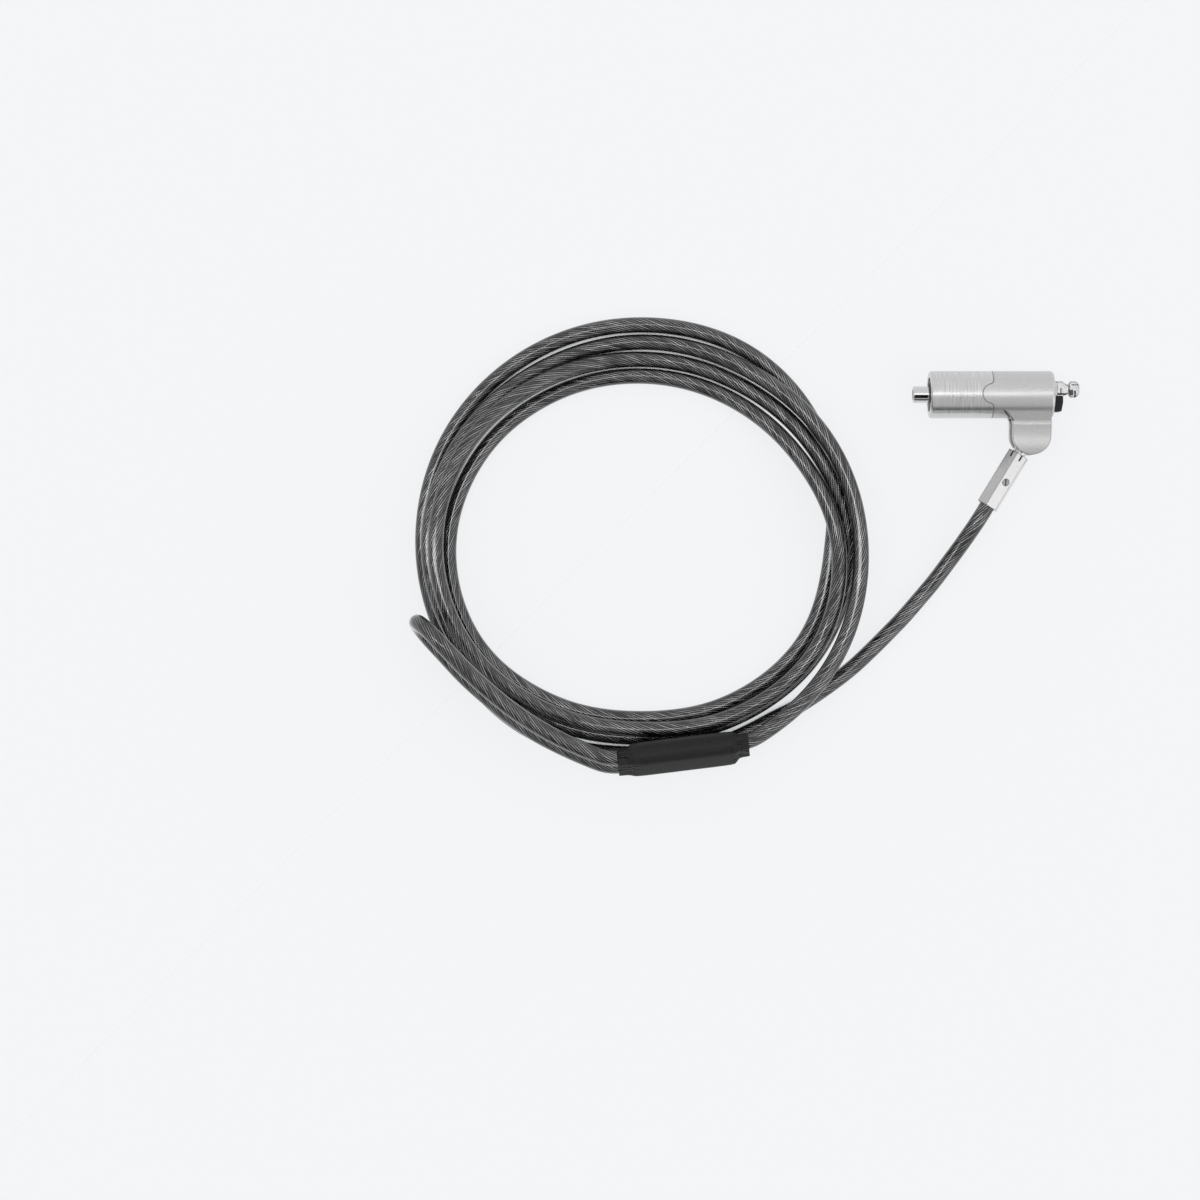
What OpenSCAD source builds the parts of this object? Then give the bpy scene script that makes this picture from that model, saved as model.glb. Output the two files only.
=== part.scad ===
// Keyed cable lock for a laptop's security slot: a push-to-lock head on a hinged
// clevis, a swivelling hexagonal ferrule, and a coiled steel cable with an anchor loop.
// Lengths are in millimetres. +Z is up and the lock lies on the plane z = 0.

/* [Barrel] */
// Outside diameter of the barrel
barrel_d = 16.5; // [15:0.5:20]
// Length of the barrel
barrel_len = 43.2; // [43:0.1:52]
// Wall of the two outer shells
shell_wall = 1.65; // [1.2:0.05:1.9]
// Length of the rear shell, up to the seam
seam_x = 21.7; // [20:0.1:24]
// Depth of the front shell's tongue into the rear shell
tongue_len = 3.9; // [2.5:0.1:5]
// Width of the tongue
tongue_w = 6.8; // [5:0.2:8]
// Open line at the seam
seam_gap = 0.12; // [0.05:0.01:0.2]
// Round on the barrel's front edge
nose_round = 1.1; // [0.5:0.1:1.5]
// Bevel on the barrel's rear edge
rear_bevel = 0.5; // [0.2:0.1:0.8]
// Thickness of the front wall
nose_wall = 3; // [2.5:0.1:4]
// Depth of the lip round the rear end
rear_lip = 0.9; // [0.6:0.1:1.4]

/* [Core] */
// Wall of the hardened sleeve inside the shells
core_wall = 1.28; // [1:0.02:1.4]
// Length of the bush that guides the plunger
bush_len = 9.2; // [8:0.1:10]
// Thickness of the slotted latch ring
latch_ring_t = 1.4; // [1:0.1:1.6]
// Diameter of the pins that hold the shells
shell_pin_d = 1.6; // [1.2:0.1:2]
// Diameter of the pin that keeps the slider from turning
guide_pin_d = 1.5; // [1.2:0.1:1.8]

/* [Plunger and key] */
// Diameter of the plunger
plunger_d = 5.8; // [5.4:0.1:6.4]
// How far the plunger stands out when the lock is open
plunger_out = 5.7; // [5:0.1:7]
// How far the plunger is pushed in to lock
travel = 4; // [3:0.1:4.2]
// Gap round the stop collar on the plunger
collar_gap = 0.7; // [0.3:0.05:1]
// Diameter of the key plug
plug_d = 3.8; // [3.4:0.1:4]
// Diameter of the key plug's tail
tail_d = 2.6; // [2.2:0.1:2.8]
// Width of the keyway
keyway_w = 0.9; // [0.7:0.1:1.1]
// Height of the keyway
keyway_h = 2.4; // [2:0.1:2.6]
// Depth of the keyway
keyway_depth = 10; // [8:0.5:12]
// Number of wafers in the key plug
wafer_count = 4; // [3:1:5]
// Thickness of one wafer
wafer_t = 0.5; // [0.4:0.05:0.6]
// Diameter of the latch pin across the plug's tail
latch_pin_d = 1.2; // [1:0.1:1.4]
// Length of the latch pin
latch_pin_len = 8.4; // [7.6:0.1:9]

/* [Locking tip] */
// Offset of the tip's axis from the barrel's axis
tip_offset = 1.8; // [1.2:0.1:2.2]
// Width of the tip and of the fixed tangs beside it
tip_w = 5.8; // [5:0.1:6.4]
// Thickness of the tip and of the tangs, to pass a 3 mm slot
tip_t = 2.8; // [2.4:0.1:2.9]
// Length of the turning head
tip_head_len = 3.4; // [2.5:0.1:4]
// Length of the fixed tangs outside the barrel
tang_len = 5.4; // [4:0.1:6]
// Diameter of the tip's neck between the tangs
neck_d = 2.1; // [1.8:0.1:2.2]
// Diameter of the spindle inside the barrel
spindle_d = 3; // [2.8:0.1:3.2]
// Diameter of the cam pin across the spindle
cam_pin_d = 1.2; // [1:0.1:1.4]
// Length of the cam pin
cam_pin_len = 4.7; // [4.4:0.1:5]
// How far the tip turns when the plunger is pushed in
tip_turn = 90; // [80:5:90]
// Length of the cam slider
slider_len = 8.3; // [8:0.1:9]
// Diameter of the return spring's wire
spring_wire_d = 0.6; // [0.4:0.05:0.7]
// Number of turns of the return spring
spring_turns = 6; // [4:1:7]

/* [Grip pad] */
// How far the pad stands out of the front wall
pad_out = 3; // [1.5:0.1:3.5]
// Height of the pad across the front wall
pad_h = 5.4; // [4:0.1:6]
// Length of the pad along the front wall
pad_len = 9; // [7:0.1:10]
// Depth of the pad's pocket
pad_pocket = 0.6; // [0.4:0.1:1]

/* [Clevis] */
// Distance of the pivot from the rear end of the barrel
pivot_x = 35.25; // [34:0.25:38]
// Distance of the pivot below the barrel's axis
pivot_drop = 14.4; // [13.8:0.1:16]
// Radius of the clevis ears round the pivot
ear_r = 6.7; // [6.2:0.1:7.2]
// Thickness over both ears at the pivot
clevis_t = 10.6; // [9.6:0.1:11.4]
// Width of the slot between the ears
slot_w = 5; // [4.4:0.1:5.6]
// Radius of the round from the barrel into the ear's face
ear_blend = 8; // [5:0.5:10]
// Radius of the round behind the ear
ear_fillet = 5.5; // [2:0.1:6]
// Radius of the slight crown across the ears' faces
ear_crown_r = 27; // [20:1:60]
// Distance of the crown's top below the pivot
ear_crown_drop = 2.2; // [0:0.1:3]
// Diameter of the pivot pin
pivot_pin_d = 3.2; // [2.6:0.1:3.6]

/* [Ferrule and link] */
// Width across the flats of the ferrule
ferrule_af = 7; // [6.8:0.1:8]
// Length of the ferrule
ferrule_len = 21.2; // [20:0.2:26]
// Distance from the pivot to the ferrule
ferrule_start = 7.6; // [7.5:0.1:9]
// Angle between the ferrule and the barrel's rear half
ferrule_angle = 58.6; // [30:0.2:90]
// Turn of the hexagon about its own axis
ferrule_roll = 14; // [0:1:30]
// Diameter of the link's shank in the ferrule
shank_d = 3.8; // [3.2:0.1:4]
// Radius of the link's eye
eye_r = 5.2; // [4.6:0.1:5.4]
// Diameter of the groove that the ferrule's screw runs in
groove_d = 2.4; // [2:0.1:2.8]
// Diameter of the ferrule's screw
ferrule_screw_d = 2.4; // [2:0.1:2.6]
// Distance of that screw from the ferrule's mouth
ferrule_screw_at = 11; // [9:0.5:12]

/* [Cable] */
// Diameter of the cable over its clear jacket
cable_d = 5.5; // [5:0.1:5.5]
// Wall of the crimp that closes the anchor loop
crimp_wall = 1.1; // [0.8:0.1:1.2]
// Length of the crimp
crimp_len = 30; // [24:1:32]
// Wall of the shrunk rubber sleeve
sleeve_wall = 0.5; // [0.3:0.05:0.6]
// Length of the sleeve's wide part
sleeve_len = 35; // [33:1:38]

/* [Hidden] */

$fn = 64;
over = 1;             // how far a cutter runs past what it cuts
run = 0.05;           // radial clearance of a running fit
seat = 0.02;          // radial clearance of a pressed or seated fit
end_gap = 0.1;        // gap between faces that turn or slide past each other

barrel_r = barrel_d / 2;
bore_r = barrel_r - shell_wall;
core_r = bore_r - seat;
chamber_r = core_r - core_wall;
inner_front = barrel_len - nose_wall;
flange_t = 1.5;       // flange of the tang boss behind the front wall
core_end = inner_front - flange_t;

plunger_r = plunger_d / 2;
bush_end = rear_lip + bush_len;
collar_t = 1.2;
collar_x = bush_end + end_gap;
latch_ring_x = collar_x + collar_t + travel + 0.15;
latch_x = latch_ring_x + latch_ring_t + 0.15 + latch_pin_d / 2 - travel;
slider_x = 21.7;      // rear face of the cam slider, plunger out
slider_front = slider_x + slider_len;
spindle_rear = slider_x + travel + 1;
cam_pin_wall = 0.8;   // metal of the spindle behind the cam pin
cam_pin_x = spindle_rear + cam_pin_wall + cam_pin_d / 2;
slider_r = chamber_r - run;
stub_r = 1.3;         // stub that joins the slider to the plunger
stub_len = 3.2;

neck_r = neck_d / 2;
spindle_r = spindle_d / 2;
tip_head_x = barrel_len + tang_len + 0.3;
tip_end = tip_head_x + tip_head_len;
spring_r = 2.75;      // mean radius of the return spring
collar_front = core_end - end_gap;
spindle_collar_t = 1.1;
boss_shank_r = 3.1;

shank_r = shank_d / 2;
shank_past_screw = 2.6;
shank_end = ferrule_start + ferrule_screw_at + shank_past_screw;
hex_r = ferrule_af / 2 / cos(30);
ferrule_end = ferrule_start + ferrule_len;
cable_bore_len = 6.3;
cable_r = cable_d / 2;
cable_seat = 0.1;     // radial clearance of the cable in its bores
leg_gap = 5.9;        // distance between the two cables in the crimp
leg_tilt = 57;        // tilt of that pair from the table
leg_dy = leg_gap * cos(leg_tilt) / 2;
leg_dz = leg_gap * sin(leg_tilt) / 2;
sleeve_at = [-110.2, -109.2, 12.1];
sleeve_turn = 7;
neck_right = 23.5;    // ends of the sleeve's necks, from its middle
neck_left = 21.8;
crimp_r = cable_r + crimp_wall;
sleeve_r = crimp_r + seat + sleeve_wall;
neck_sleeve_r = cable_r + cable_seat + sleeve_wall;
cut_end = crimp_len / 2 + 1.5;

// The frame's origin: middle of the head, link and ferrule in plan, on the table.
ferrule_dir = 180 + ferrule_angle;
ferrule_half = hex_r * cos(30 - ferrule_roll);
low_y = -pivot_drop + ferrule_end * sin(ferrule_dir) - ferrule_half * abs(cos(ferrule_dir));
head_dx = -(tip_end - plunger_out) / 2;
head_dy = -(barrel_r + low_y) / 2;
pivot_at = [pivot_x + head_dx, -pivot_drop + head_dy, barrel_r];
ferrule_tip = pivot_at + ferrule_end * [cos(ferrule_dir), sin(ferrule_dir), 0];

// ---- Placing ----

// Puts the head, drawn with its rear face at x = 0 on the X axis, in its place.
module at_head() {
    translate([head_dx, head_dy, barrel_r]) children();
}

// Puts the link and ferrule, drawn along +X from the pivot, in their place.
module at_link() {
    translate(pivot_at) rotate([0, 0, ferrule_dir]) children();
}

// Puts the crimp and sleeve, drawn along X about their middle, in their place.
module at_sleeve() {
    translate(sleeve_at) rotate([0, 0, sleeve_turn]) children();
}

// A 2D outline in Y and Z, drawn along +X from x0 to x1.
module along_x(x0, x1) {
    translate([x0, 0, 0]) rotate([90, 0, 90]) linear_extrude(x1 - x0) children();
}

// A solid round rod along X.
module rod(r, x0, x1) {
    along_x(x0, x1) circle(r);
}

// A round profile, given as [x, radius] from end to end, turned about the X axis.
module turned(profile) {
    rotate([0, 90, 0]) rotate([0, 0, 180]) mirror([1, 0, 0])
        rotate_extrude() polygon([
            [0, profile[0][0]],
            for (p = profile) [p[1], p[0]],
            [0, profile[len(profile) - 1][0]]
        ]);
}

// A radial pin on the underside of the barrel, from r0 out to r1.
module radial_pin(r, x, r0, r1) {
    translate([x, 0, -r1]) cylinder(r = r, h = r1 - r0);
}

// ---- Shells ----

// The tongue in plan: a round end with a flared root at the seam.
module tongue_outline(grow) {
    w = tongue_w / 2 + grow;
    tip = seam_x - tongue_len - grow;
    flare = 1.3;
    translate([tip + w, 0]) circle(w);
    translate([tip + w, -w]) square([seam_x - tip - w + over, 2 * w]);
    for (side = [-1, 1]) {
        difference() {
            translate([seam_x - flare - grow, side * (w + flare / 2) - flare / 2])
                square([flare + grow + over, flare]);
            translate([seam_x - flare - grow, side * (w + flare)]) circle(flare);
        }
    }
}

module tongue_block(grow) {
    linear_extrude(barrel_d) tongue_outline(grow);
}

module rear_shell() {
    color("gainsboro") at_head() difference() {
        turned([[0, barrel_r - rear_bevel], [rear_bevel, barrel_r],
                [seam_x - seam_gap / 2, barrel_r]]);
        rod(bore_r, rear_lip, seam_x + over);
        rod(bore_r - 0.6, -over, rear_lip + over);
        tongue_block(seam_gap);
        radial_pin(shell_pin_d / 2 + seat, rear_pin_x, chamber_r, barrel_r + over);
    }
}

rear_pin_x = 6;
front_pin_x = core_end - 2.3;

// The front half in profile, with its round front edge.
module nose_profile() {
    difference() {
        square([barrel_r, barrel_len]);
        translate([barrel_r - nose_round, barrel_len - nose_round])
            square(nose_round + over);
    }
    translate([barrel_r - nose_round, barrel_len - nose_round]) intersection() {
        circle(nose_round);
        square(nose_round);
    }
}

module front_body() {
    difference() {
        rotate([0, 90, 0]) rotate_extrude() nose_profile();
        rod(barrel_r + over, -over, seam_x + seam_gap / 2);
    }
    intersection() {
        rod(barrel_r, seam_x - tongue_len - seam_gap, seam_x + over);
        tongue_block(0);
    }
}

// The clevis in plan: ears round the pivot, flared into the barrel.
module ear_plan() {
    left = pivot_x - ear_r;
    right = pivot_x + ear_r;
    root = -barrel_r * 0.6;
    translate([pivot_x, -pivot_drop]) circle(ear_r);
    polygon([
        [left, -pivot_drop], [left, root], [barrel_len - 0.4, root + 1.5],
        [barrel_len - 1.2, root - 0.9], [right + 0.2, -pivot_drop * 0.73],
        [right, -pivot_drop]
    ]);
    difference() {
        translate([left - ear_fillet, root - ear_fillet]) square([ear_fillet + 0.01, ear_fillet]);
        translate([left - ear_fillet, root - ear_fillet]) circle(ear_fillet);
    }
}

// The clevis seen along the barrel, in y and z: crowned faces, blended into the barrel.
module ear_section() {
    outside = [-pivot_drop - ear_crown_drop, clevis_t / 2 - ear_crown_r];
    below = pivot_drop + 2 * ear_r;
    // The round's middle, found from its distances to the barrel's and the crown's.
    to_barrel = barrel_r + ear_blend;
    to_crown = ear_crown_r + ear_blend - 0.1;
    apart = norm(outside);
    along = (to_barrel * to_barrel - to_crown * to_crown + apart * apart) / (2 * apart);
    aside = sqrt(to_barrel * to_barrel - along * along);
    way = outside / apart;
    blend = along * way + aside * [-way[1], way[0]] * -1;
    on_barrel = blend * barrel_r / to_barrel;
    in_crown = outside + (blend - outside) * (ear_crown_r - 0.5) / to_crown;
    intersection() {
        translate(outside) circle(ear_crown_r, $fn = 180);
        translate([outside[0], -outside[1]]) circle(ear_crown_r, $fn = 180);
        translate([-below, -clevis_t]) square([below, 2 * clevis_t]);
    }
    for (side = [0, 1]) mirror([0, side]) difference() {
        polygon([[0, 0], [0, slot_w / 2 + 1.5], on_barrel, in_crown, [in_crown[0], 0]]);
        translate(blend) circle(ear_blend);
    }
}

module clevis_slot() {
    top = barrel_r + 0.35;
    translate([pivot_x - 2 * ear_r, -pivot_drop - 2 * ear_r, -slot_w / 2])
        cube([4 * ear_r, pivot_drop + 2 * ear_r - top, slot_w]);
}

module front_shell() {
    color("silver") at_head() difference() {
        union() {
            front_body();
            intersection() {
                translate([0, 0, -barrel_r]) linear_extrude(barrel_d) ear_plan();
                along_x(0, barrel_len) ear_section();
            }
        }
        rod(bore_r, seam_x - tongue_len - over, inner_front);
        translate([0, tip_offset, 0])
            rod(boss_shank_r + seat, inner_front - over, barrel_len + over);
        clevis_slot();
        translate([pivot_x, -pivot_drop, -barrel_r])
            cylinder(r = pivot_pin_d / 2 + seat, h = barrel_r + pivot_pin_top + end_gap);
        pad_block(seat, barrel_len + over);
        radial_pin(shell_pin_d / 2 + seat, front_pin_x, chamber_r, barrel_r + over);
    }
}

// ---- Core, pins and nose ----

module core_sleeve() {
    color("dimgray") at_head() difference() {
        rod(core_r, rear_lip + end_gap, core_end);
        rod(chamber_r, 0, barrel_len);
        radial_pin(guide_pin_d / 2 + seat, guide_pin_x, chamber_r - over, barrel_r);
        radial_pin(shell_pin_d / 2 + seat, rear_pin_x, chamber_r - over, barrel_r);
        radial_pin(shell_pin_d / 2 + seat, front_pin_x, chamber_r - over, barrel_r);
    }
}

module rear_bush() {
    color("lightgray") at_head() difference() {
        rod(chamber_r - seat, rear_lip + end_gap, bush_end);
        rod(plunger_r + run, 0, barrel_len);
        radial_pin(shell_pin_d / 2 + seat, rear_pin_x, bush_pin_r, barrel_r);
    }
}

bush_pin_r = plunger_r + 1;

// Two slots let the latch pin through when the key is in line with them.
module latch_ring() {
    color("gray") at_head() difference() {
        rod(chamber_r - seat, latch_ring_x, latch_ring_x + latch_ring_t);
        rod(plunger_r + run, 0, barrel_len);
        translate([latch_ring_x - over, 0, 0])
            along_x(0, latch_ring_t + 2 * over)
                square([latch_pin_d + 0.5, latch_pin_len + 0.3], center = true);
    }
}

guide_pin_x = cam_pin_x - 0.3;

module guide_pin() {
    color("darkgray") at_head()
        radial_pin(guide_pin_d / 2, guide_pin_x, slider_r - 1, core_r);
}

module shell_pins() {
    color("darkgray") at_head() {
        radial_pin(shell_pin_d / 2, rear_pin_x, bush_pin_r + end_gap, barrel_r - 0.15);
        radial_pin(shell_pin_d / 2, front_pin_x, chamber_r + 0.05, barrel_r - 0.15);
    }
}

// Steel nose: a flange behind the front wall, a shank through it and the fixed tangs.
module tang_boss() {
    shoulder = 3.2;
    front = barrel_len + tang_len;
    color("lightsteelblue") at_head() difference() {
        union() {
            rod(core_r, core_end, inner_front);
            translate([0, tip_offset, 0]) {
                rod(boss_shank_r, inner_front - 0.01, barrel_len);
                intersection() {
                    turned([[barrel_len - 0.01, tip_w / 2], [barrel_len + shoulder, tip_w / 2],
                            [front - 0.9, tip_w / 2 - 0.9], [front, tip_w / 2 - 1.1]]);
                    along_x(0, front + over) square([tip_w, tip_t], center = true);
                }
            }
        }
        translate([0, tip_offset, 0]) rod(neck_r + run, 0, front + over);
    }
}

// The pad's block, grown for its pocket; its lower end slants away.
module pad_block(grow, front) {
    top = tip_offset - tip_w / 2 + 0.5;
    low = top - pad_h;
    translate([0, 0, -pad_len / 2 - grow]) linear_extrude(pad_len + 2 * grow)
        polygon([
            [barrel_len - pad_pocket, top + grow],
            [front - 0.3, top + grow],
            [front, top - 0.6],
            [front, top - 0.44 * pad_h],
            [front - 0.6, low - grow],
            [barrel_len - pad_pocket, low - grow]
        ]);
}

module grip_pad() {
    color("black") at_head() difference() {
        pad_block(0, barrel_len + pad_out);
        translate([0, tip_offset, 0]) rod(boss_shank_r + 0.05, 0, tip_end);
    }
}

pivot_pin_top = clevis_t / 2 - 1.3;

module pivot_pin() {
    color("silver") at_head() translate([pivot_x, -pivot_drop, -clevis_t / 2 + 0.3])
        cylinder(r = pivot_pin_d / 2, h = clevis_t / 2 - 0.3 + pivot_pin_top);
}

// ---- Plunger and key ----

module plunger() {
    color("lightgray") at_head() difference() {
        union() {
            turned([[-plunger_out, plunger_r - 0.3], [-plunger_out + 0.3, plunger_r],
                    [slider_x, plunger_r]]);
            rod(chamber_r - collar_gap, collar_x, collar_x + collar_t);
        }
        rod(plug_d / 2 + run, -plunger_out - over, plug_front + end_gap);
        rod(tail_d / 2 + run, 0, tail_front + end_gap);
        rod(stub_r + seat, slider_x - stub_len - end_gap, slider_x + over);
        along_x(latch_x - latch_pin_d / 2 - 0.12, latch_x + latch_pin_d / 2 + 0.12)
            latch_window();
    }
}

// Two quarter-turn windows, in y and z, for the latch pin to swing in.
module latch_window() {
    reach = plunger_d;
    side = latch_pin_d / 2 + 0.12;
    for (way = [0, 180]) rotate(way) mirror([1, 0]) {
        square(reach);
        translate([-side, 0]) square([2 * side, reach]);
        translate([0, -side]) square([reach, 2 * side]);
    }
}

plug_front = 7.5;
tail_front = latch_x + latch_pin_d / 2 + 0.9;

// A drum with a stub for the plunger and a bore for the spindle. A helical slot
// cut step by step turns the cam pin as the drum moves forward.
module cam_slider() {
    steps = 12;
    color("goldenrod") at_head() difference() {
        union() {
            rod(slider_r, slider_x, slider_front);
            rod(stub_r, slider_x - stub_len, slider_x + 0.01);
        }
        translate([0, tip_offset, 0]) {
            rod(spindle_r + run, spindle_rear - travel - 0.3, slider_front + over);
            for (i = [0 : steps])
                translate([cam_pin_x - travel * i / steps, 0, 0])
                    rotate([tip_turn * i / steps, 0, 0])
                        cylinder(r = cam_pin_d / 2 + 0.12, h = cam_pin_len + 0.3, center = true);
        }
        translate([slider_x - over, -guide_pin_d / 2 - 0.1, -slider_r - over])
            cube([slider_len + 2 * over, guide_pin_d + 0.2, 1.1 + over]);
    }
}

wafer_pitch = 1.5;

module wafer_slots(grow) {
    h = plug_d - 0.4 + grow;
    for (i = [0 : wafer_count - 1])
        translate([-plunger_out + 3.1 + i * wafer_pitch - grow / 2, 0, 0])
            along_x(0, wafer_t + grow) square([1.7 + grow, h], center = true);
}

module key_plug() {
    color("silver") at_head() difference() {
        union() {
            rod(plug_d / 2, -plunger_out + 0.15, plug_front);
            rod(tail_d / 2, plug_front - 0.01, tail_front);
        }
        translate([-plunger_out - over, 0, 0]) along_x(0, keyway_depth + over)
            square([keyway_w, keyway_h], center = true);
        wafer_slots(0.1);
        translate([latch_x, 0, 0])
            cylinder(r = latch_pin_d / 2 + seat, h = latch_pin_len, center = true);
    }
}

module wafer_tumblers() {
    color("goldenrod") at_head() difference() {
        wafer_slots(0);
        rod(plug_d / 2 + over, plug_front, plug_front + over);
        translate([-plunger_out, 0, 0]) along_x(0, keyway_depth)
            square([keyway_w + 0.06, keyway_h - 0.5], center = true);
    }
}

module latch_pin() {
    color("darkgray") at_head() translate([latch_x, 0, 0])
        cylinder(r = latch_pin_d / 2, h = latch_pin_len, center = true);
}

// ---- Tip ----

module tip_bar() {
    collar_back = collar_front - spindle_collar_t;
    color("silver") at_head() translate([0, tip_offset, 0]) difference() {
        union() {
            rod(spindle_r, spindle_rear, collar_front);
            rod(neck_r, collar_back, tip_head_x + 0.5);
            intersection() {
                turned([[tip_head_x, tip_w / 2 - 0.5], [tip_head_x + 0.5, tip_w / 2],
                        [tip_end - 1.3, tip_w / 2], [tip_end - 0.6, tip_w / 2 - 0.3],
                        [tip_end, tip_w / 2 - 1.2]]);
                along_x(0, tip_end + over) square([tip_w + over, tip_t], center = true);
            }
        }
        translate([cam_pin_x, 0, 0])
            cylinder(r = cam_pin_d / 2 + seat, h = cam_pin_len, center = true);
    }
}

module cam_pin() {
    color("darkgray") at_head() translate([cam_pin_x, tip_offset, 0])
        cylinder(r = cam_pin_d / 2, h = cam_pin_len, center = true);
}

module spindle_collar() {
    color("darkgray") at_head() translate([0, tip_offset, 0]) difference() {
        rod(spindle_r + 0.6, collar_front - spindle_collar_t, collar_front);
        rod(spindle_r + seat, 0, barrel_len);
    }
}

// ---- Sweeps ----

function unit(v) = v / norm(v);
function ahead(path, i) = unit(path[min(i + 1, len(path) - 1)] - path[max(i - 1, 0)]);

// One ring of n points round a centre, square to the way the path runs.
function ring(at, way, r, n) =
    let (side = unit(cross(way, abs(way[2]) > 0.9 ? [0, 1, 0] : [0, 0, 1])),
         up = cross(side, way))
    [for (k = [0 : n - 1]) at + r * (sin(360 * k / n) * side + cos(360 * k / n) * up)];

// A tube of n sides along a path, its faces all triangles.
module tube(path, r, n) {
    rows = len(path);
    points = [for (i = [0 : rows - 1]) each ring(path[i], ahead(path, i), r, n)];
    walls = [for (i = [0 : rows - 2], k = [0 : n - 1])
        let (a = i * n + k, b = i * n + (k + 1) % n)
        each [[a, b, a + n], [b, b + n, a + n]]];
    start = [for (k = [1 : n - 2]) [0, k + 1, k]];
    last = (rows - 1) * n;
    finish = [for (k = [1 : n - 2]) [last, last + k, last + k + 1]];
    polyhedron(points = points, faces = concat(walls, start, finish));
}

module return_spring() {
    back = slider_front + 0.1 + spring_wire_d / 2;
    front = core_end - 0.1 - spring_wire_d / 2;
    steps = 8 * spring_turns;
    coils = [for (i = [0 : steps])
        [back + (front - back) * i / steps,
         spring_r * cos(45 * i), spring_r * sin(45 * i)]];
    color("darkgray") at_head() translate([0, tip_offset, 0])
        tube(coils, spring_wire_d / 2, 6);
}

// ---- Link and ferrule ----

module swivel_link() {
    color("silver") at_link() difference() {
        union() {
            translate([0, 0, -slot_w / 2 + end_gap]) cylinder(r = eye_r, h = slot_w - 2 * end_gap);
            rod(slot_w / 2 - end_gap, 0, ferrule_start - end_gap);
            rod(shank_r, 0, shank_end);
        }
        translate([0, 0, -slot_w])
            cylinder(r = pivot_pin_d / 2 + run, h = 2 * slot_w);
        difference() {
            rod(shank_r + over, groove_x, groove_x + ferrule_screw_d + 0.2);
            rod(groove_d / 2, 0, shank_end);
        }
    }
}

groove_x = ferrule_start + ferrule_screw_at - ferrule_screw_d / 2 - 0.1;

// Turns a piece drawn on the top of the ferrule to the face that holds the screw.
module on_screw_face() {
    rotate([ferrule_roll - 30 + 0, 0, 0]) children();
}

module ferrule() {
    slit_len = 2.2;
    color("gainsboro") at_link() difference() {
        along_x(ferrule_start, ferrule_end) rotate(ferrule_roll - 30) circle(hex_r, $fn = 6);
        rod(shank_r + run, 0, shank_end + 0.3);
        rod(cable_r + cable_seat, ferrule_end - cable_bore_len, ferrule_end + over);
        on_screw_face() translate([ferrule_start + ferrule_screw_at, 0, 0])
            cylinder(r = ferrule_screw_d / 2 + seat, h = hex_r);
        for (face = [0 : 60 : 300])
            rotate([ferrule_roll - 30 + face, 0, 0])
                translate([ferrule_start - over, -0.25, ferrule_af / 2 - 0.8])
                    cube([slit_len + over, 0.5, 2]);
    }
}

module ferrule_screw() {
    color("darkgray") at_link() on_screw_face()
        translate([ferrule_start + ferrule_screw_at, 0, 0]) difference() {
            translate([0, 0, groove_d / 2 + 0.15])
                cylinder(r = ferrule_screw_d / 2, h = ferrule_af / 2 - groove_d / 2 - 0.2);
            rotate([0, 0, 30]) translate([-ferrule_screw_d, -0.2, ferrule_af / 2 - 0.55])
                cube([2 * ferrule_screw_d, 0.4, 1]);
        }
}

// ---- Cable ----

// Middle of the coil, and radius and height of each turn every 30 degrees. The
// turns run clockwise from the side nearest -Y, each row being one turn.
coil_at = [-124, -37];
coil_step = 30;
turn_r = [
    [72.8, 75.5, 75.9, 76.8, 77.9, 78.2, 78.2, 78.0, 73.8, 67.1, 66.1, 62.8],
    [60.35, 62.9, 67.1, 67.75, 65.3, 62.0, 60.2, 60.8, 63.4, 68.7, 70.7, 67.3],
    [63.8, 65.9, 69.9, 71.75, 70.6, 67.5, 66.1, 66.8, 69.4, 72.7, 72.2, 68.7],
    [66.8, 69.2, 72.1, 74.5, 73.4, 72.0, 72.15, 72.5, 74.8, 76.4, 77.8, 77.2]
];
turn_z = [
    [2.75, 2.75, 2.75, 2.75, 2.75, 2.75, 2.75, 2.75, 2.75, 2.75, 2.75, 2.75],
    [2.75, 2.75, 2.75, 2.75, 2.75, 2.75, 2.75, 2.9, 10.0, 12.2, 8.7, 8.55],
    [7.95, 8.3, 14.4, 14.1, 12.2, 8.1, 2.85, 2.9, 8.8, 7.1, 2.75, 2.75],
    [2.75, 2.9, 8.9, 8.6, 7.1, 3.6, 2.75, 5.6, 11.6, 13.3, 13.5, 14.4]
];
coil_start_r = 75.2;  // radius 30 degrees before the first turn
coil_tail = [[-90.0, -105.1, 14.6], [-95.5, -105.8, 14.6]];

// The cable from the ferrule to the coil, lying on the table.
lead_route = [
    [-7.6, -29.5, 7.2], [-11.6, -36.0, 5.6], [-16.0, -42.2, 4.2], [-21.0, -49.0, 3.2],
    [-26.5, -55.6, 2.75], [-31.7, -61.6, 2.75], [-37.1, -67.2, 2.75], [-43.3, -73.4, 2.75],
    [-50.0, -79.6, 2.75], [-59.3, -86.7, 2.75], [-69.2, -93.2, 2.75], [-77.6, -97.5, 2.75]
];

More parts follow.
